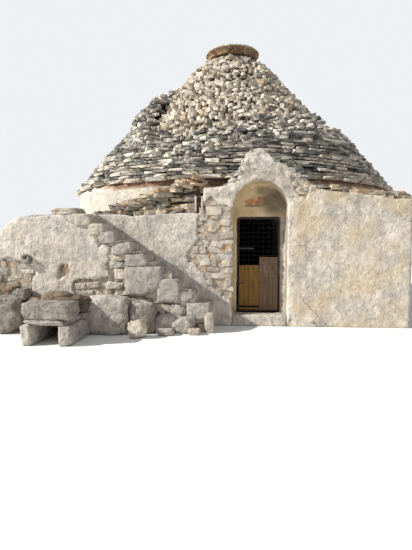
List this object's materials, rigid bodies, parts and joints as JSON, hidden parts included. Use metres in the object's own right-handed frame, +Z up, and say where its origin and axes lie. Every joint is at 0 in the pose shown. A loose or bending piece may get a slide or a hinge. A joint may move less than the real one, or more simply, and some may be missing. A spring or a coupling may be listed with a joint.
{
  "type": "trullo house",
  "caption": "Round dry-stone trullo house with a slab-covered cone, arched portal, mesh gate, outside stair, side terrace and low stone shelter.",
  "frame": {"origin": "middle of the round room at ground level, on the cone's axis", "axes": "+Z up, -Y out of the front, where the portal and gate are, +X to the viewer's right"},
  "size_m": [8.92, 11.1599, 7.225],
  "materials": {
    "drum_plaster": "worn limewash",
    "facade_plaster": "weathered lime plaster",
    "earth": "packed red earth and small stone",
    "vault_stone": "rough limestone",
    "rubble_stone": "pale limestone rubble",
    "roof_slab": "weathered grey limestone slabs",
    "block_stone": "rough limestone blocks",
    "iron": "dull weathered wire and bar",
    "board_ochre": "ochre painted, worn",
    "board_grey_brown": "bare, weathered"
  },
  "bodies": {
    "house": {"floor": "block_stone", "threshold": "block_stone", "drum_front_left": "drum_plaster", "drum_front_right": "drum_plaster", "drum_over_door": "drum_plaster", "eave_bed": "earth", "vault_lower": "vault_stone", "vault_upper": "vault_stone", "vault_slab": "vault_stone", "rubble_fill": "rubble_stone", "rubble_top": "rubble_stone", "skin_lower": "roof_slab", "skin_middle": "roof_slab", "skin_upper": "roof_slab", "capstone": "roof_slab", "portal_left": "facade_plaster", "portal_right": "facade_plaster", "portal_arch": "facade_plaster", "passage_left": "facade_plaster", "passage_right": "facade_plaster", "passage_roof": "facade_plaster", "front_wall_left": "facade_plaster", "front_wall_right": "facade_plaster", "side_wall_right": "facade_plaster", "annex_front_wall": "facade_plaster", "annex_side_wall": "facade_plaster", "terrace_fill": "earth", "stair_mass": "block_stone", "stair_treads": "block_stone", "base_boulders": "block_stone", "shelter_piers": "block_stone", "shelter_cover": "roof_slab", "shelter_block": "block_stone", "shelter_roof": "rubble_stone", "slab_heap": "roof_slab", "drain_spout": "block_stone", "channel_stone": "block_stone", "gate_pintles": "iron", "drum_segment_1": "drum_plaster", "drum_segment_2": "drum_plaster", "drum_segment_3": "drum_plaster", "drum_segment_4": "drum_plaster", "drum_segment_5": "drum_plaster", "drum_segment_6": "drum_plaster"},
    "gate": {"gate_frame": "iron", "gate_mesh": "iron", "gate_straps": "iron", "board_yellow": "board_ochre", "board_brown": "board_grey_brown"}
  },
  "joints": [
    {"name": "gate_hinge", "type": "hinge", "parent": "house", "child": "gate", "pos_m": [0.228, -4.28, 1.2], "axis": [0, 0, -1], "range_deg": [0, 95]}
  ]
}
